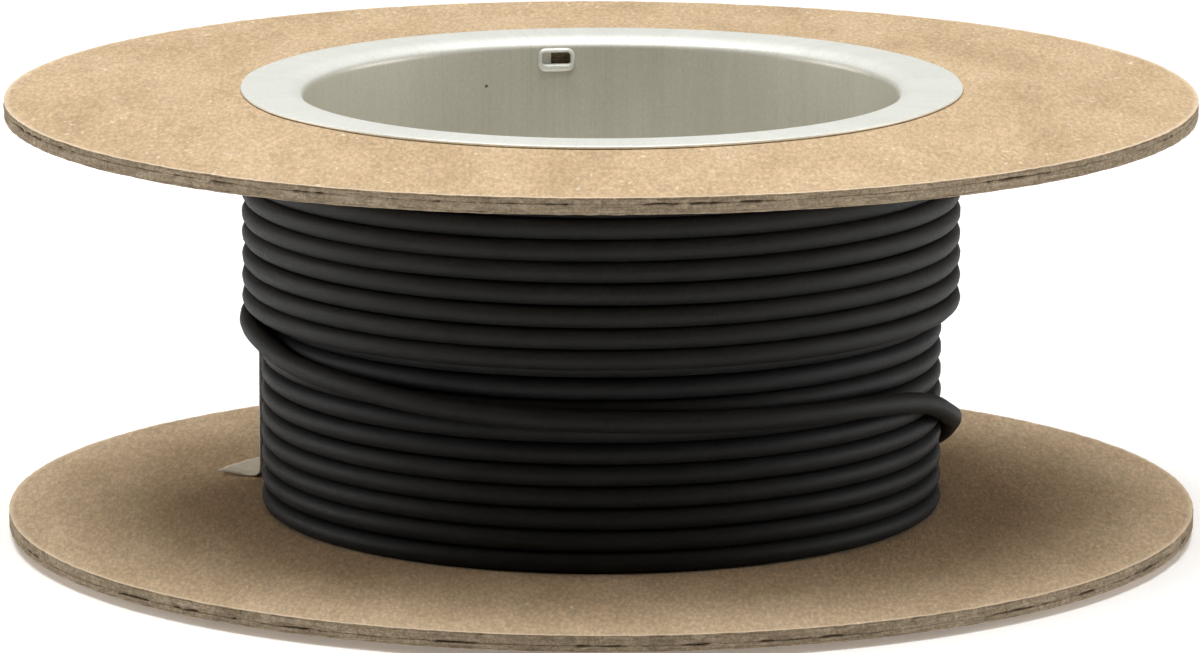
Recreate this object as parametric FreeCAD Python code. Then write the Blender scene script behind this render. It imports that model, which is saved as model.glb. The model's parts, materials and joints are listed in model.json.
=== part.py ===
"""Spool of insulated wire: two laminated chipboard flanges clinched on a sheet-metal core.

Millimetres, +Z up along the core. The origin is on the core's axis at the underside of the bottom lip.
Azimuth 0 faces -Y (the front) and grows toward +X.
"""

import FreeCAD, Part
import math
import os

from FreeCAD import Vector

# Core: a sleeve of thin sheet whose ends are rolled outward over the boards.
BORE_R = 25.4
SHEET = 0.4
LIP_R = 30.77
LIP_STAND = 0.74  # how far each lip stands proud of its board
CORNER_R = 1.3  # rounding between the bore and a lip's flat face
LIP_EDGE_R = 0.45

# Flanges: two chip plies between two kraft liners.
FLANGE_R = 50.8
BOARD_BORE_R = 26.1
LINER = 0.12
OUTER_PLY = 0.40
INNER_PLY = 0.74
TRAVERSE = 34.16  # clear width between the two flanges

# Lock windows pierced through the core at board level.
WINDOW_AZIMUTH = 189.0
WINDOW_WIDTH = 2.7
WINDOW_HEIGHT = 1.2
WINDOW_BELOW_END = 1.9  # from the end of the core to the window's centre

# Wire and its winding.
WIRE_D = 1.8
TURN_PITCH = 1.82
UPPER_TURNS = 8  # turns of the third layer that lie side by side, counted from the top
LAYER_STEP = 1.56  # radial step between nested layers
LAYERS_BELOW = 2
POINTS_PER_TURN = 24
RIDE_CLEARANCE = 0.06
# Route of the last turns after they leave the coil: (azimuth in degrees, height of the wire's centre).
FINISH_ROUTE = (
    (-90, 20.33), (90, 20.33), (180, 19.45), (270, 18.5), (285, 18.1), (300, 17.1), (315, 16.6),
    (345, 15.4), (380, 14.9), (412, 14.4), (428, 13.0), (440, 10.8), (450, 9.4), (465, 6.6),
    (480, 4.1), (495, 3.12), (600, 3.06),
)

# Cut end of the conductor.
STRAND_D = 0.28
STRAND_STICKS_OUT = 0.9
STRANDS_ROUND_ONE = 6

# Paper tape that holds the wire's end against the pack.
TAPE = 0.13
TAPE_FROM = -124.0
TAPE_TO = -108.5
TAPE_TOP = 24.5
TAPE_TONGUE_R = 34.4
TAPE_AIR = 0.08

BOARD = 2 * LINER + OUTER_PLY + INNER_PLY
BOTTOM_BOARD_TOP = LIP_STAND + BOARD
TOP_BOARD_UNDER = BOTTOM_BOARD_TOP + TRAVERSE
HEIGHT = TOP_BOARD_UNDER + BOARD + LIP_STAND
CORE_R = BORE_R + SHEET
LAYER_R = [CORE_R + WIRE_D / 2 + n * LAYER_STEP for n in range(LAYERS_BELOW + 1)]
FULL_LAYERS_R = LAYER_R[LAYERS_BELOW - 1] + WIRE_D / 2
UPPER_BLOCK_R = LAYER_R[LAYERS_BELOW] + WIRE_D / 2
UPPER_BLOCK_UNDER = TOP_BOARD_UNDER - UPPER_TURNS * TURN_PITCH - 0.45
FINISH_R = FULL_LAYERS_R + WIRE_D / 2 + RIDE_CLEARANCE
AXIS = Vector(0, 0, 1)
CENTRE = Vector(0, 0, 0)


def at(azimuth, radius, z):
    """The point at an azimuth in degrees, a radius and a height."""
    a = math.radians(azimuth)
    return Vector(radius * math.sin(a), -radius * math.cos(a), z)


def export(node, shape):
    """Write one sub-part's STEP file."""
    if not shape.isValid():
        raise ValueError(node + " is not a valid shape")
    shape.exportStep("parts/" + node + ".step")
    print(node, round(shape.Volume, 2))


def ring(inner, outer, low, high):
    """A flat ring between two radii and two heights."""
    disc = Part.makeCylinder(outer, high - low, Vector(0, 0, low))
    hole = Part.makeCylinder(inner, high - low, Vector(0, 0, low))
    return disc.cut(hole)


def corner(centre_r, centre_z, radius, from_degrees, to_degrees):
    """An arc in the XZ plane, its angles counted from +X toward +Z."""
    steps = [math.radians(from_degrees + (to_degrees - from_degrees) * k / 2) for k in range(3)]
    points = [Vector(centre_r + radius * math.cos(a), 0, centre_z + radius * math.sin(a)) for a in steps]
    return Part.Arc(*points).toShape()


def line(r1, z1, r2, z2):
    """A straight edge in the XZ plane."""
    return Part.LineSegment(Vector(r1, 0, z1), Vector(r2, 0, z2)).toShape()


def mirrored(edge):
    """The edge reflected about the spool's middle plane."""
    return edge.mirror(Vector(0, 0, HEIGHT / 2), AXIS)


def core_end():
    """The top half of the core's section: bore side, corner, lip, rolled edge and underside."""
    corner_centre_r, corner_centre_z = BORE_R + CORNER_R, HEIGHT - CORNER_R
    edge_centre_r, edge_centre_z = LIP_R - LIP_EDGE_R, HEIGHT - LIP_EDGE_R
    lip_foot = HEIGHT - LIP_STAND
    lip_under = HEIGHT - SHEET
    foot_inner_r = LIP_R - SHEET
    return [
        line(BORE_R, HEIGHT / 2, BORE_R, corner_centre_z),
        corner(corner_centre_r, corner_centre_z, CORNER_R, 180, 90),
        line(corner_centre_r, HEIGHT, edge_centre_r, HEIGHT),
        corner(edge_centre_r, edge_centre_z, LIP_EDGE_R, 90, 0),
        line(LIP_R, edge_centre_z, LIP_R, lip_foot),
        line(LIP_R, lip_foot, foot_inner_r, lip_foot),
        line(foot_inner_r, lip_foot, foot_inner_r, lip_under),
        line(foot_inner_r, lip_under, corner_centre_r, lip_under),
        corner(corner_centre_r, corner_centre_z, CORNER_R - SHEET, 90, 180),
        line(CORE_R, corner_centre_z, CORE_R, HEIGHT / 2),
    ]


def lock_window(z):
    """The block that a punch takes out of the core's wall."""
    block = Part.makeBox(WINDOW_WIDTH, 4 * SHEET, WINDOW_HEIGHT, Vector(-WINDOW_WIDTH / 2, -2 * SHEET, -WINDOW_HEIGHT / 2))
    block.translate(Vector(0, -(BORE_R + SHEET / 2), z))
    block.rotate(CENTRE, AXIS, WINDOW_AZIMUTH)
    return block


def core_tube():
    """The sleeve with its two rolled lips and a lock window at each end."""
    half = core_end()
    section = Part.Wire(Part.__sortEdges__(half + [mirrored(edge) for edge in half]))
    sleeve = Part.Face(section).revolve(CENTRE, AXIS, 360)
    for z in (WINDOW_BELOW_END, HEIGHT - WINDOW_BELOW_END):
        sleeve = sleeve.cut(lock_window(z))
    return sleeve


def flange(name, outside, inward):
    """One board's four sheets, from its outside face inward; inward is +1 or -1 along Z."""
    z = outside
    for sheet, thickness in (
        ("outer_liner", LINER),
        ("outer_ply", OUTER_PLY),
        ("inner_ply", INNER_PLY),
        ("inner_liner", LINER),
    ):
        low, high = sorted((z, z + inward * thickness))
        export(name + "_" + sheet, ring(BOARD_BORE_R, FLANGE_R, low, high))
        z += inward * thickness


def wire_coil():
    """The outer shape of the wound wire: two full layers and the partial third layer above."""
    full = ring(CORE_R, FULL_LAYERS_R, BOTTOM_BOARD_TOP, TOP_BOARD_UNDER)
    upper = ring(CORE_R, UPPER_BLOCK_R, UPPER_BLOCK_UNDER, TOP_BOARD_UNDER)
    return full.fuse(upper).removeSplitter()


def route_height(azimuth):
    """Height of the finish turn's centre, straight between the route's stations."""
    for (a, low), (b, high) in zip(FINISH_ROUTE, FINISH_ROUTE[1:]):
        if azimuth <= b:
            return low + (high - low) * (azimuth - a) / (b - a)
    return FINISH_ROUTE[-1][1]


def finish_points():
    """Corners of the finish turn's route, evenly spaced round the pack."""
    first, last = FINISH_ROUTE[0][0], FINISH_ROUTE[-1][0]
    count = round((last - first) * POINTS_PER_TURN / 360)
    step = (last - first) / count
    # Arcs pass inside their corners, so the corners stand out by half of that shortfall.
    swell = 1 / math.cos(math.radians(step / 2)) ** 0.5
    return [at(first + k * step, FINISH_R * swell, route_height(first + k * step)) for k in range(count + 1)]


def rounded_path(points):
    """Straight runs joined by tangent arcs; returns the wire, its length and the arc radii."""
    edges, radii = [], []
    start = points[0]
    for before, here, after in zip(points, points[1:], points[2:]):
        back, ahead = (before - here), (after - here)
        shorter = min(back.Length, ahead.Length)
        back.normalize()
        ahead.normalize()
        half_turn = (math.pi - back.getAngle(ahead)) / 2
        setback = 0.45 * shorter
        radius = setback / math.tan(half_turn)
        enter, leave = here + back * setback, here + ahead * setback
        toward_centre = back + ahead
        toward_centre.normalize()
        middle = here + toward_centre * (math.hypot(radius, setback) - radius)
        edges.append(Part.LineSegment(start, enter).toShape())
        edges.append(Part.Arc(enter, middle, leave).toShape())
        radii.append(radius)
        start = leave
    edges.append(Part.LineSegment(start, points[-1]).toShape())
    return Part.Wire(edges), sum(edge.Length for edge in edges), radii


def finish_turn():
    """The tube of the last turns, and the frame of its cut end."""
    points = finish_points()
    path, length, radii = rounded_path(points)
    direction = points[1] - points[0]
    section = Part.Wire(Part.makeCircle(WIRE_D / 2, points[0], direction))
    tube = path.makePipeShell([section], True, False)
    if tube.Volume < 0:
        tube.reverse()
    expected = math.pi * WIRE_D**2 / 4 * length
    print("finish turn: length", round(length, 1), "volume ratio", round(tube.Volume / expected, 4))
    print("arc radii", round(min(radii), 1), "to", round(max(radii), 1))
    heading = points[-1] - points[-2]
    heading.normalize()
    return tube, points[-1], heading


def end_strands(tip, heading):
    """Copper strands standing out of the wire's cut end, one in the middle and six round it."""
    side = heading.cross(AXIS)
    side.normalize()
    up = side.cross(heading)
    feet = [tip]
    for k in range(STRANDS_ROUND_ONE):
        a = 2 * math.pi * k / STRANDS_ROUND_ONE
        feet.append(tip + (side * math.cos(a) + up * math.sin(a)) * (STRAND_D * 1.08))
    strands = [Part.makeCylinder(STRAND_D / 2, STRAND_STICKS_OUT, foot, heading) for foot in feet]
    return Part.Compound(strands)


def finish_tape():
    """A strip of paper down the pack that bends out on the flange and ends there."""
    skin_r = FINISH_R + WIRE_D / 2 + TAPE_AIR
    floor = BOTTOM_BOARD_TOP + 0.05
    bend = 0.8
    outline = [
        (skin_r, TAPE_TOP), (skin_r, floor + bend), (skin_r + bend, floor), (TAPE_TONGUE_R, floor),
        (TAPE_TONGUE_R, floor + TAPE), (skin_r + bend + TAPE / 2, floor + TAPE),
        (skin_r + TAPE, floor + bend + TAPE / 2), (skin_r + TAPE, TAPE_TOP),
    ]
    corners = [Vector(r, 0, z) for r, z in outline]
    strip = Part.Face(Part.makePolygon(corners + corners[:1])).revolve(CENTRE, AXIS, TAPE_TO - TAPE_FROM)
    strip.rotate(CENTRE, AXIS, TAPE_FROM - 90)
    return strip


os.makedirs("parts", exist_ok=True)
export("core_tube", core_tube())
flange("top", HEIGHT - LIP_STAND, -1)
flange("bottom", LIP_STAND, 1)
export("wire_coil", wire_coil())
tube, tip, heading = finish_turn()
export("wire_finish_turn", tube)
export("finish_end_strands", end_strands(tip, heading))
export("finish_tape", finish_tape())
print("height", round(HEIGHT, 2), "coil step at", round(UPPER_BLOCK_UNDER, 2), "finish radius", round(FINISH_R, 2))
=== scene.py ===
"""Looks of the wire spool: laminated chipboard flanges, a rolled sheet-metal core and wound black wire."""

import json
import math

import bmesh
import bpy
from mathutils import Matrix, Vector, noise


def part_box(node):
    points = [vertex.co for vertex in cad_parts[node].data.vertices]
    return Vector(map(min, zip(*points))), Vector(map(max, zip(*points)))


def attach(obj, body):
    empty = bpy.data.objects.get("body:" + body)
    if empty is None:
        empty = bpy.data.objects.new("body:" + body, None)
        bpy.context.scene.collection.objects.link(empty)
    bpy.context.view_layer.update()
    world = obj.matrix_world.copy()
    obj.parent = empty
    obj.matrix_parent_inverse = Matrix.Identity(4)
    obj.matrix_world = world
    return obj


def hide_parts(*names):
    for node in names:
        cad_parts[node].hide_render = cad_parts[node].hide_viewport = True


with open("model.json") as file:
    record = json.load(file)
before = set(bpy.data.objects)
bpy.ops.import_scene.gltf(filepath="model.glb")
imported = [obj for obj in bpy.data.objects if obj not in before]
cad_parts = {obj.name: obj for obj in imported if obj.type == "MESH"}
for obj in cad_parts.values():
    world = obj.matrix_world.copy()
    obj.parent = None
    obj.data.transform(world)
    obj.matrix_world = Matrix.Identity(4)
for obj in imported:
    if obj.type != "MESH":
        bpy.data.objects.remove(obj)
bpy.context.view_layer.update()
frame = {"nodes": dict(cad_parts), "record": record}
MM = 0.001

# Sizes from the frame. The boards' bore and the sheet's thickness are as in part.py.
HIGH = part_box("core_tube")[1]
HEIGHT = HIGH.z
LIP_R = HIGH.x
BORE_R = frame["record"]["mounts"][0]["dims"]["r_mm"] * MM
FLANGE_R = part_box("top_outer_liner")[1].x
WINDING_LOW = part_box("bottom_inner_liner")[1].z
BOARD_BORE_R = 26.1 * MM
SHEET = 0.4 * MM
CORE_R = BORE_R + SHEET

# Wire and winding.
WIRE_D = 1.8 * MM
PITCH = 1.83 * MM
LAYER_STEP = 1.56 * MM
POINTS_PER_TURN = 24
FINISH_POINTS_PER_TURN = 36
FULL_TURNS = 18
UPPER_TURNS = 9
TOP_TURN_Z = 35.0 * MM
BOTTOM_TURN_Z = 3.02 * MM
WANDER = (0.03 * MM, 0.07 * MM, 0.10 * MM)  # how unevenly each layer lies
RADIAL_SHARE = 0.55  # of that unevenness
LEVEL_TO = 96.0  # degrees each side of the front over which a turn lies level
JOG = 360 - 2 * LEVEL_TO
FIRST_R = CORE_R + WIRE_D / 2
CREST_R = FIRST_R + LAYER_STEP + WIRE_D
# Route of the last turns after the third layer ends: (azimuth, height of the centre in mm).
FINISH_ROUTE = (
    (90, 20.35), (135, 20.05), (180, 19.6), (225, 19.0), (262, 18.55), (282, 18.2), (290, 17.95),
    (300, 17.1), (311, 16.8), (330, 16.0), (345, 15.5), (376, 15.0), (398, 14.7), (412, 14.4),
    (420, 13.9), (429, 12.8), (438, 11.0), (450, 9.5), (462, 6.9), (475, 4.3), (490, 3.2), (600, 3.06),
)


def spot(azimuth, radius, z):
    """The point at an azimuth in degrees (0 is the front, growing toward +X), a radius and a height."""
    a = math.radians(azimuth)
    return Vector((radius * math.sin(a), -radius * math.cos(a), z))


def smooth(t):
    """Ease from 0 to 1."""
    t = min(max(t, 0.0), 1.0)
    return t * t * (3 - 2 * t)


# ---------------------------------------------------------------- camera


def make_camera():
    """A long lens, a little above the spool."""
    elevation = math.radians(11.114)
    distance = 0.7203
    target = Vector((-0.0001, 0, 0.01737))
    back = Vector((0, -math.cos(elevation), math.sin(elevation)))
    data = bpy.data.cameras.new("camera")
    data.sensor_width = 36
    data.lens = 252.2
    data.clip_start, data.clip_end = 0.05, 20
    camera = bpy.data.objects.new("camera", data)
    camera.location = target + back * distance
    camera.rotation_mode = "QUATERNION"
    camera.rotation_quaternion = (-back).to_track_quat("-Z", "Y")
    bpy.context.scene.collection.objects.link(camera)
    bpy.context.scene.camera = camera


make_camera()

# ---------------------------------------------------------------- wire


def layer_points(first_z, direction, radius, turns, next_radius, wander):
    """One layer: level turns across the front, each stepping one pitch behind the spool."""
    points = []
    for k in range(turns * POINTS_PER_TURN):
        turn, part = divmod(k, POINTS_PER_TURN)
        azimuth = -LEVEL_TO + part * 360 / POINTS_PER_TURN
        step = smooth((azimuth - LEVEL_TO) / JOG)
        z = first_z + direction * PITCH * (turn + step)
        r = radius
        if turn == turns - 1:
            z = first_z + direction * PITCH * (turn + 0.5 * step)
            r += (next_radius - radius) * step
        phase = turn * 1.7 + radius / MM
        drift = noise.noise(Vector((azimuth / 55, phase, 0.3)))
        lift = noise.noise(Vector((azimuth / 40, phase, 7.1)))
        points.append((azimuth, r + wander * RADIAL_SHARE * lift, z + wander * drift))
    return points


def route_height(azimuth):
    """Height of the finish turn's centre, straight between the route's stations."""
    for (a, low), (b, high) in zip(FINISH_ROUTE, FINISH_ROUTE[1:]):
        if azimuth <= b:
            return low + (high - low) * (azimuth - a) / (b - a)
    return FINISH_ROUTE[-1][1]


def finish_points():
    """The last turn: down behind, across the front, then down to the bottom flange."""
    points = []
    step = 360 / POINTS_PER_TURN
    first, last = FINISH_ROUTE[0][0] + step / 2, FINISH_ROUTE[-1][0]
    count = round((last - first) * FINISH_POINTS_PER_TURN / 360)
    sunk_start = 0.26 * MM  # the turn climbs from the third layer onto its crests
    for k in range(count + 1):
        azimuth = first + (last - first) * k / count
        rise = smooth((azimuth - FINISH_ROUTE[0][0]) / 150)
        r = CREST_R - sunk_start * (1 - rise)
        points.append((azimuth, r, route_height(azimuth) * MM))
    return points


def winding_points():
    """Control points of the whole wire, from its start under the top flange to its cut end."""
    r1, r2, r3 = (FIRST_R + n * LAYER_STEP for n in range(3))
    route = layer_points(TOP_TURN_Z, -1, r1, FULL_TURNS, r2, WANDER[0])
    route += layer_points(BOTTOM_TURN_Z, 1, r2, FULL_TURNS, r3, WANDER[1])
    route += layer_points(TOP_TURN_Z, -1, r3, UPPER_TURNS, r3, WANDER[2])
    while route[-1][0] > FINISH_ROUTE[0][0]:
        route.pop()
    # A quadratic spline runs inside its control points, so they stand out by these factors.
    swell = 4 / (3 + math.cos(math.radians(360 / POINTS_PER_TURN)))
    fine_swell = 4 / (3 + math.cos(math.radians(360 / FINISH_POINTS_PER_TURN)))
    points = [spot(a, r * swell, z) for a, r, z in route]
    return points + [spot(a, r * fine_swell, z) for a, r, z in finish_points()]


def make_wire():
    """The wire as one NURBS cord."""
    points = winding_points()
    curve = bpy.data.curves.new("wire", "CURVE")
    curve.dimensions = "3D"
    spline = curve.splines.new("NURBS")
    spline.points.add(len(points) - 1)
    for point, place in zip(spline.points, points):
        point.co = (*place, 1)
        point.radius = WIRE_D / 2
    spline.order_u = 3
    spline.use_endpoint_u = True
    spline.resolution_u = 4
    curve.bevel_depth = 1.0  # times each point's radius
    curve.bevel_resolution = 4
    curve.use_fill_caps = True
    wire = bpy.data.objects.new("wire", curve)
    bpy.context.scene.collection.objects.link(wire)
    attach(wire, "root")
    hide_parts("wire_coil", "wire_finish_turn")
    return wire


wire = make_wire()

# ---------------------------------------------------------------- materials


class Nodes:
    """A material's node tree with short ways to add nodes and links."""

    def __init__(self, name, **settings):
        self.material = bpy.data.materials.new(name)
        self.material.use_nodes = True
        self.tree = self.material.node_tree
        self.shader = self.tree.nodes["Principled BSDF"]
        for key, value in settings.items():
            self.shader.inputs[key.replace("_", " ")].default_value = value
        self.place = self.add("ShaderNodeTexCoord").outputs["Object"]

    def add(self, kind, **inputs):
        node = self.tree.nodes.new(kind)
        for key, value in inputs.items():
            self.put(node.inputs[key.replace("_", " ")], value)
        return node

    def put(self, socket, value):
        if isinstance(value, bpy.types.NodeSocket):
            self.tree.links.new(value, socket)
        else:
            socket.default_value = value

    def set(self, key, value):
        self.put(self.shader.inputs[key], value)

    def scaled(self, sx, sy, sz, vector=None):
        node = self.add("ShaderNodeMapping", Vector=vector or self.place)
        node.inputs["Scale"].default_value = (sx, sy, sz)
        return node.outputs["Vector"]

    def noise(self, scale, detail=4.0, roughness=0.55, vector=None, distortion=0.0):
        node = self.add("ShaderNodeTexNoise", Vector=vector or self.place)
        for key, value in (("Scale", scale), ("Detail", detail), ("Roughness", roughness),
                           ("Distortion", distortion)):
            node.inputs[key].default_value = value
        return node.outputs["Fac"]

    def ramp(self, fac, *stops):
        node = self.add("ShaderNodeValToRGB", Fac=fac)
        elements = node.color_ramp.elements
        while len(elements) < len(stops):
            elements.new(0.5)
        for element, (position, colour) in zip(elements, stops):
            element.position = position
            element.color = (*colour, 1) if len(colour) == 3 else (*colour * 3, 1)
        return node.outputs["Color"]

    def mix(self, kind, fac, a, b):
        node = self.add("ShaderNodeMix")
        node.data_type = "RGBA"
        node.blend_type = kind
        self.put(node.inputs["Factor"], fac)
        self.put([s for s in node.inputs if s.name == "A" and s.type == "RGBA"][0], a)
        self.put([s for s in node.inputs if s.name == "B" and s.type == "RGBA"][0], b)
        return [s for s in node.outputs if s.type == "RGBA"][0]

    def math(self, kind, a, b):
        node = self.add("ShaderNodeMath")
        node.operation = kind
        self.put(node.inputs[0], a)
        self.put(node.inputs[1], b)
        return node.outputs[0]

    def radial(self):
        """Coordinates (angle, radius, height) about the spool's axis."""
        parts = self.add("ShaderNodeSeparateXYZ", Vector=self.place)
        angle = self.math("ARCTAN2", parts.outputs["X"], parts.outputs["Y"])
        square = self.math("ADD", self.math("POWER", parts.outputs["X"], 2.0),
                           self.math("POWER", parts.outputs["Y"], 2.0))
        radius = self.math("SQRT", square, 0.0)
        joined = self.add("ShaderNodeCombineXYZ", X=angle, Y=radius, Z=parts.outputs["Z"])
        return joined.outputs["Vector"], radius

    def near(self, point, reach):
        """A mask that is 1 at a point and fades to 0 at that reach."""
        node = self.add("ShaderNodeVectorMath")
        node.operation = "DISTANCE"
        self.put(node.inputs[0], self.place)
        node.inputs[1].default_value = tuple(point)
        ragged = self.math("MULTIPLY", self.noise(3000, 3, 0.7), 0.9 * reach)
        grown = self.math("ADD", node.outputs["Value"], ragged)
        near = self.add("ShaderNodeMapRange", Value=grown)
        near.inputs["From Min"].default_value = reach * 1.15
        near.inputs["From Max"].default_value = reach * 0.75
        return near.outputs["Result"]

    def bump(self, height, strength, distance):
        node = self.add("ShaderNodeBump", Height=height)
        node.inputs["Strength"].default_value = strength
        node.inputs["Distance"].default_value = distance
        self.put(self.shader.inputs["Normal"], node.outputs["Normal"])


def kraft_material(name, base, dark, light):
    """Kraft paper: pulp speckle drawn out along Y, soft mottling, a few specks and a painted highlight
    along the rounded rim.
    """
    n = Nodes(name, Roughness=0.88, Specular_IOR_Level=0.2)
    cloud = n.noise(1.0, 5, 0.62, n.scaled(150, 60, 60))
    colour = n.ramp(cloud, (0.18, dark), (0.5, base), (0.84, light))
    pulp = n.noise(1.0, 4, 0.75, n.scaled(3000, 850, 2500))
    colour = n.mix("MULTIPLY", 0.6, colour, n.ramp(pulp, (0.35, (0.7,)), (0.5, (0.98,)), (0.64, (1.35,))))
    fibre = n.noise(1.0, 3, 0.6, n.scaled(1500, 320, 900), 1.5)
    colour = n.mix("MULTIPLY", 0.5, colour, n.ramp(fibre, (0.3, (0.8,)), (0.5, (1.0,)), (0.72, (1.12,))))
    fleck = n.noise(1.0, 1, 0.4, n.scaled(1500, 900, 900))
    colour = n.mix("MIX", n.ramp(fleck, (0.75, (0.0,)), (0.79, (0.6,))), colour, (*dark, 1))
    pale = n.noise(1.0, 1, 0.4, n.scaled(1900, 700, 1370))
    colour = n.mix("MIX", n.ramp(pale, (0.7, (0.0,)), (0.78, (0.5,))), colour, (0.86, 0.78, 0.64, 1))
    dark_speck = n.near(spot(299.3, 48.17 * MM, HIGH.z), 0.35 * MM)
    colour = n.mix("MIX", dark_speck, colour, (0.16, 0.1, 0.05, 1))
    white_speck = n.near(spot(-42.1, 46.0 * MM, HIGH.z), 0.5 * MM)
    colour = n.mix("MIX", white_speck, colour, (0.9, 0.9, 0.86, 1))
    # Painted highlight: the rim attribute lightens the colour on the board's rounded rim.
    rim = n.add("ShaderNodeAttribute")
    rim.attribute_name = "rim"
    colour = n.mix("MIX", n.math("MULTIPLY", rim.outputs["Fac"], 0.6), colour, (0.82, 0.67, 0.5, 1))
    n.set("Base Color", colour)
    n.set("Roughness", n.ramp(pulp, (0.3, (0.94,)), (0.7, (0.82,))))
    n.bump(n.mix("MIX", 0.5, pulp, fibre), 0.8, 0.0001)
    return n.material


def chip_material(name, base, dark, light):
    """Cut edge of pressed grey-brown fibre board, with crushed patches and painted shade in the open splits
    between plies.
    """
    n = Nodes(name, Roughness=0.93, Specular_IOR_Level=0.15)
    vector, _ = n.radial()
    patch = n.noise(1.0, 5, 0.7, n.scaled(70, 900, 2300, vector), 1.0)
    streak = n.noise(1.0, 4, 0.6, n.scaled(14, 900, 4200, vector), 0.6)
    grain = n.noise(5200, 3, 0.7)
    blotch = n.noise(260, 3, 0.6)
    colour = n.ramp(n.mix("MIX", 0.35, patch, streak), (0.36, dark), (0.5, base), (0.64, light))
    colour = n.mix("MULTIPLY", 0.7, colour, n.ramp(grain, (0.32, (0.6,)), (0.65, (1.25,))))
    colour = n.mix("MULTIPLY", 0.5, colour, n.ramp(blotch, (0.35, (0.78,)), (0.6, (1.12,))))
    # Painted shade: a dark brown where the split between the plies is torn open.
    crack_shade = n.add("ShaderNodeAttribute")
    crack_shade.attribute_name = "crack_shade"
    colour = n.mix("MIX", crack_shade.outputs["Fac"], colour, (0.085, 0.055, 0.03, 1))
    n.set("Base Color", colour)
    n.bump(n.mix("MIX", 0.5, patch, grain), 0.8, 0.00015)
    return n.material


def core_material():
    """Rolled sheet: a dull bore with faint draw lines and one small dark spot; off the bore's wall the
    colour is a paler lit copy, painted light on the upward lip.
    """
    n = Nodes("core_sheet", Metallic=0.18, Roughness=0.4, Specular_IOR_Level=0.4)
    vector, radius = n.radial()
    draw = n.noise(1.0, 4, 0.7, n.scaled(120, 60, 45, vector), 0.4)
    wide = n.noise(1.0, 3, 0.5, n.scaled(7, 20, 60, vector))
    grain = n.noise(4200, 3, 0.7)
    # Painted light: the bore's wall takes the darker shaded copy of the colour, the lip and all else off
    # the wall the paler lit copy.
    wall = n.ramp(wide, (0.3, (0.59, 0.565, 0.475)), (0.7, (0.65, 0.625, 0.53)))
    lip = n.ramp(wide, (0.3, (0.83, 0.835, 0.765)), (0.7, (0.89, 0.895, 0.825)))
    off_wall = n.math("ABSOLUTE", n.math("SUBTRACT", radius, BORE_R), 0.0)
    lit_lip_share = n.add("ShaderNodeMapRange", Value=off_wall)
    lit_lip_share.inputs["From Min"].default_value = 0.02 * MM
    lit_lip_share.inputs["From Max"].default_value = 0.25 * MM
    colour = n.mix("MIX", lit_lip_share.outputs["Result"], wall, lip)
    colour = n.mix("MULTIPLY", 0.3, colour, n.ramp(draw, (0.3, (0.82,)), (0.5, (1.0,)), (0.7, (1.06,))))
    colour = n.mix("MULTIPLY", 0.5, colour, n.ramp(grain, (0.32, (0.86,)), (0.66, (1.08,))))
    # A small dark spot on the bore below the top lip.
    dark_spot = n.near(spot(203.4, BORE_R, HEIGHT - 4.05 * MM), 0.28 * MM)
    colour = n.mix("MIX", dark_spot, colour, (0.1, 0.07, 0.05, 1))
    n.set("Base Color", colour)
    n.set("Roughness", n.ramp(n.mix("MIX", 0.5, draw, grain), (0.3, (0.30,)), (0.7, (0.44,))))
    n.bump(n.mix("MIX", 0.7, draw, grain), 0.2, 0.00005)
    return n.material


def wire_material():
    """Black insulation: satin to matte, with a fine dusty grain and dull rub marks."""
    n = Nodes("black_insulation", Roughness=0.6, Specular_IOR_Level=0.24)
    vector, _ = n.radial()
    dust = n.noise(5200, 3, 0.75)
    rub = n.noise(1.0, 4, 0.6, n.scaled(9, 500, 700, vector))
    colour = n.ramp(rub, (0.35, (0.0058, 0.0058, 0.0058)), (0.7, (0.0105, 0.0105, 0.0104)))
    colour = n.mix("MIX", n.ramp(dust, (0.52, (0.0,)), (0.72, (0.5,))), colour, (0.043, 0.044, 0.043, 1))
    n.set("Base Color", colour)
    n.set("Roughness", n.ramp(dust, (0.35, (0.5,)), (0.65, (0.74,))))
    n.bump(dust, 0.55, 0.00006)
    return n.material


def tape_material():
    """White crepe paper tape with cross creases and a slight cream tint."""
    n = Nodes("paper_tape", Roughness=0.8, Specular_IOR_Level=0.3, Subsurface_Weight=0.05)
    crease = n.noise(1.0, 4, 0.6, n.scaled(900, 900, 4200), 0.5)
    colour = n.ramp(crease, (0.3, (0.78, 0.74, 0.65)), (0.6, (0.92, 0.9, 0.83)))
    n.set("Base Color", colour)
    n.bump(crease, 0.5, 0.0001)
    return n.material


def copper_material():
    """Bare drawn copper, a little tarnished."""
    n = Nodes("copper_strand", Metallic=1.0, Roughness=0.3)
    tarnish = n.noise(2500, 3, 0.6)
    n.set("Base Color", n.ramp(tarnish, (0.35, (0.42, 0.17, 0.08)), (0.6, (0.86, 0.45, 0.27))))
    n.set("Roughness", n.ramp(tarnish, (0.3, (0.45,)), (0.7, (0.22,))))
    n.bump(tarnish, 0.2, 0.00002)
    return n.material


# ---------------------------------------------------------------- mesh helpers


def add_mesh(name, points, faces, materials, pick=None, smooth_faces=True):
    """A mesh object; pick gives each face's material index."""
    mesh = bpy.data.meshes.new(name)
    mesh.from_pydata([tuple(p) for p in points], [], faces)
    for material in materials:
        mesh.materials.append(material)
    for index, face in enumerate(mesh.polygons):
        face.use_smooth = smooth_faces
        if pick:
            face.material_index = pick(index)
    mesh.update()
    piece = bpy.data.objects.new(name, mesh)
    bpy.context.scene.collection.objects.link(piece)
    return piece


def lathe(section, azimuths, warp=None):
    """Points and quads of a closed section carried all the way round the axis."""
    points, faces = [], []
    columns, rows = len(azimuths), len(section)
    for azimuth in azimuths:
        for r, z in section:
            place = warp(azimuth, r, z) if warp else (r, z)
            points.append(spot(azimuth, *place))
    for i in range(columns):
        j = (i + 1) % columns
        for k in range(rows):
            m = (k + 1) % rows
            faces.append((i * rows + k, j * rows + k, j * rows + m, i * rows + m))
    return points, faces


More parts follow.
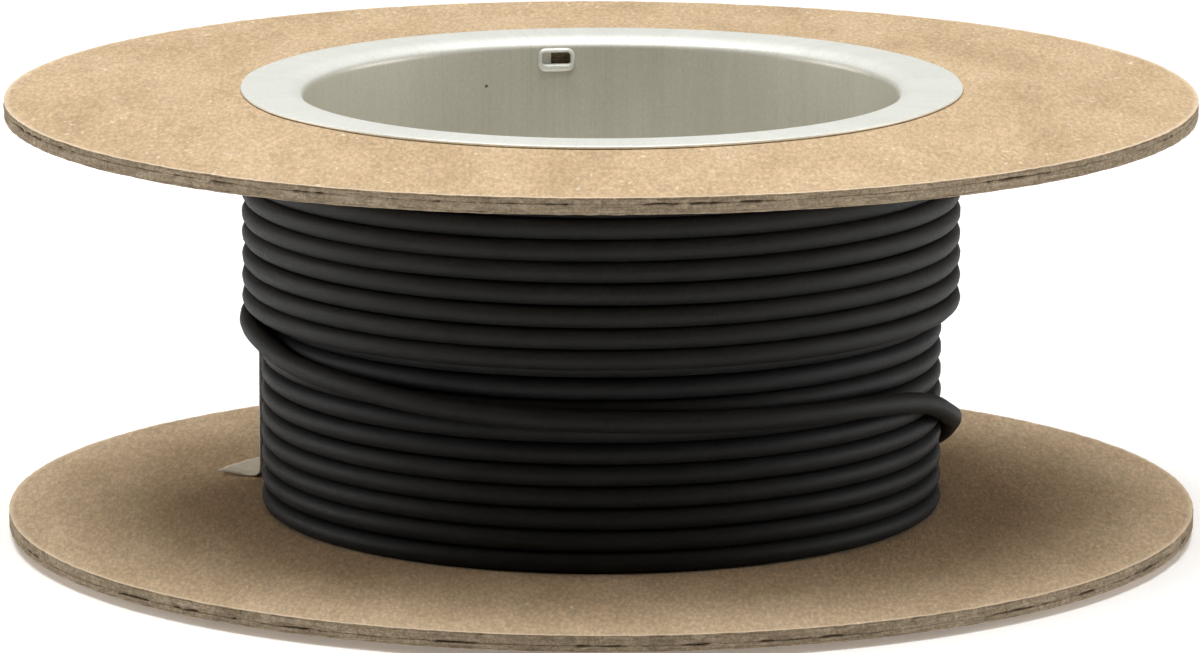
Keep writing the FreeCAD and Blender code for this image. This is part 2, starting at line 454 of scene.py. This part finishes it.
def arc(centre_r, centre_z, radius, start, end, steps):
    """Section points along an arc, angles counted from outward toward up."""
    angles = [math.radians(start + (end - start) * k / steps) for k in range(steps + 1)]
    return [(centre_r + radius * math.cos(a), centre_z + radius * math.sin(a)) for a in angles]


def around(azimuth, scale, seed):
    """Noise that closes on itself round the spool; scale is waves per radian."""
    a = math.radians(azimuth)
    return noise.noise(Vector((math.cos(a) * scale, math.sin(a) * scale, seed)))


# ---------------------------------------------------------------- flanges

RIM_SEGMENTS = 900
FACE_RADII = (26.1, 27.4, 29.2, 30.8, 33.0, 37.0, 43.0)  # in mm
FACE_RINGS = len(FACE_RADII) + 1
RIM_ROWS = 4
RIM_HIGHLIGHT_WIDTH = 0.55 * MM  # of a face beside its rim, over which the painted rim highlight fades out
RIM_ZONE_R = FLANGE_R - 0.2 * MM
BOW = 0.16 * MM
SWELL = 0.43 * MM
TEAR_REACH = 0.16 * MM  # each way from the split between the plies
TEAR_DEPTH = 0.22 * MM
TEAR_WAVER = 0.07 * MM
LINER_NICKS, PLY_NICKS = 0.07 * MM, 0.10 * MM


def board_warp(seed, azimuth, r):
    """How far a board bows up or down at a place, nothing at the core and most at the rim."""
    out = (r - BOARD_BORE_R) / (FLANGE_R - BOARD_BORE_R)
    return BOW * out * out * around(azimuth, 0.9, seed)


def lip_swell(r):
    """How far a board's outer face stands up round the lip that is rolled down on it."""
    under = smooth((r - BOARD_BORE_R) / (2.6 * MM))
    return SWELL * under * (1 - smooth((r - LIP_R) / (FLANGE_R - 4 * MM - LIP_R)))


def sheet_section(z_low, z_high):
    """A sheet's section: out along the underside, up the rounded rim and back in along the top."""
    round_r = min((z_high - z_low) * 0.4, 0.07 * MM)
    radii = [r * MM for r in FACE_RADII] + [FLANGE_R - RIM_HIGHLIGHT_WIDTH, FLANGE_R - round_r]
    under = [(r, z_low) for r in radii]
    foot = arc(FLANGE_R - round_r, z_low + round_r, round_r, -90, 0, 2)[1:]
    head = arc(FLANGE_R - round_r, z_high - round_r, round_r, 0, 90, 2)
    height = z_high - z_low - 2 * round_r
    sides = [(FLANGE_R, z_low + round_r + height * k / RIM_ROWS) for k in range(1, RIM_ROWS)]
    top = [(r, z_high) for r in reversed(radii)][1:]
    return under + foot + sides + head + top


def crack_at(azimuth, warp_seed):
    """How open the split between a board's two plies is, from 0 to 1."""
    wave = around(azimuth, 14, warp_seed) + 0.8 * around(azimuth, 55, warp_seed + 3)
    return smooth((wave - 0.12) / 0.35)


def make_sheet(node, warp_seed, ragged, materials, split):
    """One sheet of a board, its rim uneven as a die leaves it and torn open along the split."""
    low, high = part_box(node)
    seed = sum(ord(c) for c in node) * 0.37
    outward = 1 if low.z > HEIGHT / 2 else -1

    def swell_share(z):
        """How much of the swelling reaches a height: all in the outer liner, none in the inner sheets."""
        if "outer_liner" in node:
            return 1.0
        inner_side = low.z if outward > 0 else high.z
        return abs(z - inner_side) / (high.z - low.z) if "outer_ply" in node else 0.0

    def warp(azimuth, r, z):
        out = (r - BOARD_BORE_R) / (FLANGE_R - BOARD_BORE_R)
        edge = smooth((out - 0.975) / 0.025)
        nick = around(azimuth, 24, seed) * 0.5 + around(azimuth, 85, seed + z / MM * 1.1) * 0.5
        line = split + TEAR_WAVER * around(azimuth, 70, warp_seed + 6)
        tear = max(0.0, 1 - abs(z - line) / TEAR_REACH) * crack_at(azimuth, warp_seed)
        crush = edge * ragged * 0.6 * around(azimuth, 48, seed + 9)
        swell = outward * lip_swell(r) * swell_share(z)
        bow = board_warp(warp_seed, azimuth, r)
        return r + edge * (ragged * nick - TEAR_DEPTH * tear), z + bow + crush + swell

    azimuths = [360 * k / RIM_SEGMENTS for k in range(RIM_SEGMENTS)]
    section = sheet_section(low.z, high.z)
    points, faces = lathe(section, azimuths, warp)
    rows = len(section)
    rim = range(FACE_RINGS + 1, rows - FACE_RINGS - 2)

    def is_rim(face):
        return int(face % rows in rim)

    piece = add_mesh(node + "_sheet", points, faces, materials, is_rim)
    # Weight of the painted shade in the open split between the plies.
    crack_shade = piece.data.attributes.new("crack_shade", "FLOAT", "POINT")
    # Weight of the painted rim highlight: 1 on the rim's rows, 0 on the face.
    rim_highlight = piece.data.attributes.new("rim", "FLOAT", "POINT")
    for i, azimuth in enumerate(azimuths):
        opening = crack_at(azimuth, warp_seed)
        for k, (r, z) in enumerate(section):
            near = max(0.0, 1 - abs(z - split) / (0.8 * TEAR_REACH)) * (r > RIM_ZONE_R)
            crack_shade.data[i * rows + k].value = 0.8 * near * opening
            rim_highlight.data[i * rows + k].value = float(r > RIM_ZONE_R)
    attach(piece, "root")
    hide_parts(node)
    return piece


def make_flange(name, warp_seed, liner, inner_liner, chip):
    """The four sheets of one board; the liners' cut rims show the same brown fibre as the plies."""
    low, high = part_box(name + "_outer_ply")
    split = low.z if name == "top" else high.z
    for sheet, ragged, materials, slot in (
        ("outer_liner", LINER_NICKS, (liner, chip), "kraft_liner"),
        ("outer_ply", PLY_NICKS, (chip, chip), "chip_ply"),
        ("inner_ply", PLY_NICKS, (chip, chip), "chip_ply"),
        ("inner_liner", LINER_NICKS, (inner_liner, chip), "kraft_liner"),
    ):
        piece = make_sheet(name + "_" + sheet, warp_seed, ragged, materials, split)


# ---------------------------------------------------------------- core

CORNER_OUT, CORNER_DOWN = 1.8 * MM, 1.1 * MM  # the oval corner between a lip's face and the bore
LIP_STAND = 0.30 * MM
LIP_EDGE_R = 0.13 * MM
CORE_COLUMNS = 540
WINDOW_COLUMNS = (279, 288)  # the lock windows' sides, as columns of the sleeve
WINDOW_AZIMUTH = 180 * (WINDOW_COLUMNS[0] + WINDOW_COLUMNS[1]) / CORE_COLUMNS
WINDOW_LOW, WINDOW_HIGH = HEIGHT - 2.50 * MM, HEIGHT - 1.32 * MM


def oval(out, down, start, end, steps):
    """Section points along the corner's oval, angles counted as in arc."""
    angles = [math.radians(start + (end - start) * k / steps) for k in range(steps + 1)]
    centre_r, centre_z = BORE_R + CORNER_OUT, HEIGHT - CORNER_DOWN
    return [(centre_r + out * math.cos(a), centre_z + down * math.sin(a)) for a in angles]


def lip_section():
    """Section of the sleeve's upper half, from the bore's middle over the lip and back down outside."""
    corner_r = BORE_R + CORNER_OUT
    edge_r, edge_z = LIP_R - LIP_EDGE_R, HEIGHT - LIP_EDGE_R
    foot = HEIGHT - LIP_STAND + 0.02 * MM
    wall = [(BORE_R, HEIGHT / 2 + (WINDOW_LOW - HEIGHT / 2) * k / 6) for k in range(1, 7)]
    wall += [(BORE_R, (WINDOW_LOW + WINDOW_HIGH) / 2), (BORE_R, WINDOW_HIGH)]
    face = [(corner_r + (edge_r - corner_r) * k / 5, HEIGHT) for k in range(1, 5)]
    return (
        wall
        + oval(CORNER_OUT, CORNER_DOWN, 180, 90, 14)
        + face
        + arc(edge_r, edge_z, LIP_EDGE_R, 90, -70, 8)
        + [(edge_r - 0.25 * MM, foot), (corner_r + 0.6 * MM, foot), (corner_r, HEIGHT - SHEET)]
        + oval(CORNER_OUT - SHEET, CORNER_DOWN - SHEET, 90, 180, 6)[1:]
        + [(CORE_R, WINDOW_HIGH), (CORE_R, WINDOW_LOW)]
    )


def pierce(faces, section):
    """Open the lock windows through both walls of the sleeve and close their sides."""
    rows = len(section)
    first, last = WINDOW_COLUMNS
    gone, sides = set(), []
    for flip in (False, True):
        levels = [HEIGHT - z if flip else z for _, z in section]
        walls = []
        for wall_r in (BORE_R, CORE_R):
            inside = [k for k, (r, _) in enumerate(section)
                      if abs(r - wall_r) < 1e-6 and WINDOW_LOW - 1e-6 <= levels[k] <= WINDOW_HIGH + 1e-6]
            for i in range(first, last):
                gone.update(i * rows + k for k in inside if k + 1 in inside)
            walls.append(sorted(inside, key=lambda k: levels[k]))
        bore, back = walls
        for i in range(first, last):
            for near, far in ((bore[0], back[0]), (bore[-1], back[-1])):
                sides.append((i * rows + near, (i + 1) * rows + near, (i + 1) * rows + far, i * rows + far))
        for column in (first, last):
            sides.append([column * rows + k for k in bore + back[::-1]])
    return [face for index, face in enumerate(faces) if index not in gone] + sides


def window_rim(z_middle, lower_swell):
    """The raised border that the punch leaves round a lock window, on the bore's wall."""
    half_u, half_v, round_r = 1.45 * MM, 0.77 * MM, 0.50 * MM
    sunk = 0.02 * MM
    path = []
    for centre_u, centre_v, start in ((1, 1, 0), (-1, 1, 90), (-1, -1, 180), (1, -1, 270)):
        for k in range(7):
            a = math.radians(start + 15 * k)
            path.append((centre_u * (half_u - round_r) + round_r * math.cos(a),
                         centre_v * (half_v - round_r) + round_r * math.sin(a), math.cos(a), math.sin(a)))
    steps, border_width, height = 8, 0.20 * MM, 0.34 * MM
    points, faces = [], []
    for u, v, nu, nv in path:
        width = border_width * (1 + 0.8 * max(0.0, -nv * lower_swell))
        for k in range(steps + 1):
            a = math.pi * k / steps
            across, proud = width * math.cos(a), height * math.sin(a)
            azimuth = WINDOW_AZIMUTH - math.degrees((u + nu * across) / BORE_R)
            points.append(spot(azimuth, BORE_R + sunk - proud, z_middle + v + nv * across))
    count = len(path)
    for i in range(count):
        j = (i + 1) % count
        for k in range(steps):
            a, b = i * (steps + 1) + k, j * (steps + 1) + k
            faces.append((a, b, b + 1, a + 1))
    return points, faces


def window_tab(z_low, z_high):
    """The lanced tab, still joined at the window's left side and bent back toward the board."""
    left = 360 * WINDOW_COLUMNS[1] / CORE_COLUMNS
    points, faces = [], []
    steps, reach, margin, tab_thick = 6, 0.95 * MM, 0.06 * MM, 0.2 * MM
    for k in range(steps + 1):
        part = k / steps
        azimuth = left - math.degrees(reach * part / BORE_R)
        sunk = 0.10 * MM + 0.30 * MM * part * part
        for z in (z_low + margin, z_high - margin):
            for thick in (0, tab_thick):
                points.append(spot(azimuth, BORE_R + sunk + thick, z))
    for k in range(steps):
        a, b = 4 * k, 4 * k + 4
        faces += [(a, b, b + 2, a + 2), (a + 1, a + 3, b + 3, b + 1)]
        faces += [(a, a + 1, b + 1, b), (a + 2, b + 2, b + 3, a + 3)]
    faces += [(0, 2, 3, 1), (4 * steps, 4 * steps + 1, 4 * steps + 3, 4 * steps + 2)]
    return points, faces


def make_core():
    """The sleeve with its rolled lips, lock windows, their raised borders and lanced tabs."""
    upper = lip_section()
    section = upper + [(r, HEIGHT - z) for r, z in reversed(upper)]
    azimuths = [360 * k / CORE_COLUMNS for k in range(CORE_COLUMNS)]

    def warp(azimuth, r, z):
        out = smooth((r - BORE_R - CORNER_OUT) / (LIP_R - BORE_R - CORNER_OUT))
        top = z > HEIGHT / 2
        wobble = around(azimuth, 3.5, 4.0 + top) * 0.10 * MM * out
        sag = (0.5 - top) * abs(around(azimuth, 5, 7.0 + top)) * 0.1 * MM * out * (1 - out)
        return r + wobble, z + sag

    points, faces = lathe(section, azimuths, warp)
    faces = pierce(faces, section)
    window_middle = (WINDOW_LOW + WINDOW_HIGH) / 2
    for z, swell in ((window_middle, 1), (HEIGHT - window_middle, -1)):
        half = (WINDOW_HIGH - WINDOW_LOW) / 2
        for more_points, more_faces in (window_rim(z, swell), window_tab(z - half, z + half)):
            base = len(points)
            points += more_points
            faces += [tuple(base + v for v in face) for face in more_faces]
    core = add_mesh("core_sleeve", points, faces, [core_material()])
    bm = bmesh.new()
    bm.from_mesh(core.data)
    bmesh.ops.recalc_face_normals(bm, faces=bm.faces)
    bm.to_mesh(core.data)
    bm.free()
    core.data.set_sharp_from_angle(angle=math.radians(40))
    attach(core, "root")
    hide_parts("core_tube")


make_core()


TUFT_BELOW_END = 2.1 * MM


def make_fibre_tuft(name, z_middle, material):
    """Board fibre that the lanced tab has crushed into a lump behind a lock window."""
    bm = bmesh.new()
    bmesh.ops.create_icosphere(bm, subdivisions=4, radius=1.0)
    half_u, half_out, half_v = 1.25 * MM, 0.5 * MM, 0.5 * MM
    middle, centre_r = WINDOW_AZIMUTH - 1.0, BOARD_BORE_R + 0.45 * MM
    for vert in bm.verts:
        lump = 1 + 0.55 * noise.noise(vert.co * 2.6 + Vector((0, 0, z_middle / MM)))
        lump += 0.3 * noise.noise(vert.co * 8)
        u, out, v = vert.co.x * half_u * lump, vert.co.y * half_out * lump, vert.co.z * half_v * lump
        vert.co = spot(middle + math.degrees(u / BORE_R), centre_r + out, z_middle + v)
    bmesh.ops.recalc_face_normals(bm, faces=bm.faces)
    mesh = bpy.data.meshes.new(name)
    bm.to_mesh(mesh)
    bm.free()
    mesh.materials.append(material)
    mesh.shade_smooth()
    tuft = bpy.data.objects.new(name, mesh)
    bpy.context.scene.collection.objects.link(tuft)
    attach(tuft, "root")


# ---------------------------------------------------------------- paper tape


def make_tape():
    """The strip that holds the wire's end: down the pack, over the bend and out to a torn end."""
    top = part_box("finish_tape")[1].z
    first, last = -124.0, -107.3
    skin = CREST_R + WIRE_D / 2 + 0.09 * MM
    floor = WINDING_LOW + 0.07 * MM
    bend, thick = 0.9 * MM, 0.11 * MM
    reach = 35.0 * MM
    down = [(skin, top - (top - floor - bend) * k / 24) for k in range(24)]
    turn = arc(skin + bend, floor + bend, bend, 180, 270, 6)
    out = [(skin + bend + (reach - skin - bend) * k / 8, floor) for k in range(1, 9)]
    line = down + turn + out
    columns = 28
    points, faces = [], []
    for side in (0, thick):
        for i in range(columns + 1):
            across = i / columns
            azimuth = first + (last - first) * across
            tear = noise.noise(Vector((across * 9, 2.2, 0))) * 0.35 * MM
            slant = (across - 1.0) * 1.4 * MM
            for k, (r, z) in enumerate(line):
                flat = smooth((k - len(down)) / 5)
                puff = noise.noise(Vector((across * 3, k / 6, 5.0))) * 0.05 * MM
                pull = flat * (k - len(down)) / (len(line) - len(down)) * (slant + tear)
                lift = 0.35 * MM * flat * max(0.0, k - len(down) - 7) / 7 * (0.4 + 0.6 * across)
                sink = side if flat < 0.5 else 0.0
                rise = side if flat >= 0.5 else 0.0
                points.append(spot(azimuth, r + sink + puff * (1 - flat) + pull, z + rise + lift))
    rows, sheet = len(line), (columns + 1) * len(line)
    for i in range(columns):
        for k in range(rows - 1):
            a, b = i * rows + k, (i + 1) * rows + k
            faces.append((a, b, b + 1, a + 1))
            faces.append((sheet + a, sheet + a + 1, sheet + b + 1, sheet + b))
    for k in range(rows - 1):
        a, b = k, columns * rows + k
        faces.append((a, a + 1, sheet + a + 1, sheet + a))
        faces.append((b, sheet + b, sheet + b + 1, b + 1))
    for i in range(columns):
        a, b = i * rows, (i + 1) * rows
        faces.append((a, sheet + a, sheet + b, b))
        a, b = a + rows - 1, b + rows - 1
        faces.append((a, b, sheet + b, sheet + a))
    tape = add_mesh("tape_strip", points, faces, [tape_material()])
    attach(tape, "root")
    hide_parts("finish_tape")


make_tape()

liner = kraft_material("kraft_liner", (0.53, 0.385, 0.235), (0.42, 0.295, 0.17), (0.62, 0.465, 0.30))
chip = chip_material("chip_ply", (0.29, 0.225, 0.15), (0.17, 0.13, 0.085), (0.43, 0.35, 0.25))
# Painted light: the inner faces' kraft is a lighter, paler copy of the outer liner's, brightening the
# bottom board's upper face.
inner_liner = kraft_material("kraft_inner_lit", (0.58, 0.44, 0.29), (0.46, 0.34, 0.21), (0.68, 0.53, 0.365))
make_flange("top", 1.3, liner, inner_liner, chip)
make_flange("bottom", 8.6, liner, inner_liner, chip)
make_fibre_tuft("top_fibre_tuft", HEIGHT - TUFT_BELOW_END, chip)
make_fibre_tuft("bottom_fibre_tuft", TUFT_BELOW_END, chip)
wire.data.materials.append(wire_material())
strands = frame["nodes"]["finish_end_strands"]
strands.data.materials.clear()
strands.data.materials.append(copper_material())

# ---------------------------------------------------------------- floor and light

AIR_LIGHT = 0.10
BACKDROP_TOP = 0.36  # sine of the elevation at which the backdrop's pale band ends


def add_lamp(name, data, place):
    """A lamp at a place, aimed at the spool's middle."""
    lamp = bpy.data.objects.new(name, data)
    lamp.location = place
    lamp.rotation_mode = "QUATERNION"
    lamp.rotation_quaternion = (Vector((0, 0, HEIGHT / 2)) - place).to_track_quat("-Z", "Y")
    bpy.context.scene.collection.objects.link(lamp)


def add_sun(place, spread, strength):
    """A very soft overhead light, the same all over the floor; spread is in degrees."""
    data = bpy.data.lights.new("overhead", "SUN")
    data.angle = math.radians(spread)
    data.energy = strength
    add_lamp("overhead", data, Vector(place))


def add_world():
    """Dim studio air with a paler band low behind the spool, as a backdrop gives."""
    world = bpy.data.worlds.new("studio")
    world.use_nodes = True
    tree = world.node_tree
    place = tree.nodes.new("ShaderNodeTexCoord")
    parts = tree.nodes.new("ShaderNodeSeparateXYZ")
    low = tree.nodes.new("ShaderNodeMapRange")
    behind = tree.nodes.new("ShaderNodeMapRange")
    both = tree.nodes.new("ShaderNodeMath")
    both.operation = "MULTIPLY_ADD"
    tree.links.new(place.outputs["Generated"], parts.inputs["Vector"])
    tree.links.new(parts.outputs["Z"], low.inputs["Value"])
    tree.links.new(parts.outputs["Y"], behind.inputs["Value"])
    for node, start, stop in ((low, BACKDROP_TOP, BACKDROP_TOP * 0.6), (behind, -0.1, 0.6)):
        node.inputs["From Min"].default_value = start
        node.inputs["From Max"].default_value = stop
    tree.links.new(low.outputs["Result"], both.inputs[0])
    tree.links.new(behind.outputs["Result"], both.inputs[1])
    both.inputs[2].default_value = AIR_LIGHT
    tree.links.new(both.outputs[0], tree.nodes["Background"].inputs["Strength"])
    bpy.context.scene.world = world


def make_stage():
    """A pale floor and the studio lights."""
    n = Nodes("floor", Roughness=0.9)
    tone = n.noise(6, 2, 0.5)
    n.set("Base Color", n.ramp(tone, (0.3, (0.93, 0.93, 0.925)), (0.7, (0.95, 0.95, 0.945))))
    n.set("Emission Color", (1, 1, 1, 1))
    n.set("Emission Strength", 0.16)
    size = 3.0
    corners = [(-size, -size, 0), (size, -size, 0), (size, size, 0), (-size, size, 0)]
    floor = add_mesh("floor", corners, [(0, 1, 2, 3)], [n.material], smooth_faces=False)
    add_world()
    add_sun((-0.04, 0.07, 1.0), 54, 2.98)
    for name, place, size, power in (
        ("left_box", (-0.85, 0.20, 0.10), 0.5, 3.8),
        ("right_box", (0.85, 0.10, 0.10), 0.5, 4.0),
        ("over_box", (-0.01, -0.14, 0.36), 0.28, 0.55),
    ):
        data = bpy.data.lights.new(name, "AREA")
        data.shape = "SQUARE"
        data.size = size
        data.energy = power
        add_lamp(name, data, Vector(place))


make_stage()
bpy.context.scene.view_settings.view_transform = "Standard"
